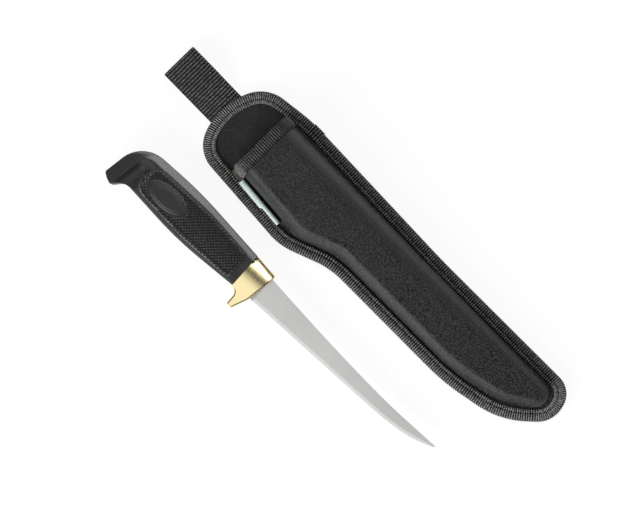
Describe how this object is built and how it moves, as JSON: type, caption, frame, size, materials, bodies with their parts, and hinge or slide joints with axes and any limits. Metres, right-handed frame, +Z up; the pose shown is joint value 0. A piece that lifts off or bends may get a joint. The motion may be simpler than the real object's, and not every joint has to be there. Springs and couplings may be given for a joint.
{
  "type": "fillet knife",
  "caption": "Fillet knife with a narrow pointed blade, brass finger guard and hooked checkered rubber grip, lying beside its padded fabric sheath with belt loop.",
  "frame": {"origin": "on the surface that knife and sheath lie on, under the middle of the sheath's flat back", "axes": "+X from the butt to the tip of the knife and along the sheath, +Y to the spine side, +Z up, away from the surface"},
  "size_m": [0.3293, 0.1217, 0.0299],
  "materials": {
    "steel": "satin",
    "brass": "satin",
    "core": "matt",
    "grip": "satin",
    "shell": "matt",
    "foam": "matt",
    "lining": "matt",
    "liner": "satin",
    "tape": "ribbed",
    "webbing": "ribbed",
    "label": "smooth"
  },
  "bodies": {
    "sheath": {"front_shell": "shell", "front_foam": "foam", "front_lining": "lining", "back_shell": "shell", "back_foam": "foam", "back_lining": "lining", "blade_liner": "liner", "edge_binding": "tape", "mouth_binding": "tape", "belt_loop": "webbing", "seam_label": "label"},
    "knife": {"blade": "steel", "finger_guard": "brass", "handle_core": "core", "handle_grip": "grip"}
  },
  "joints": [
    {"name": "knife_lift", "type": "slide", "parent": "sheath", "child": "knife", "axis": [0, 0, 1], "range_m": [0, 0.12]}
  ]
}
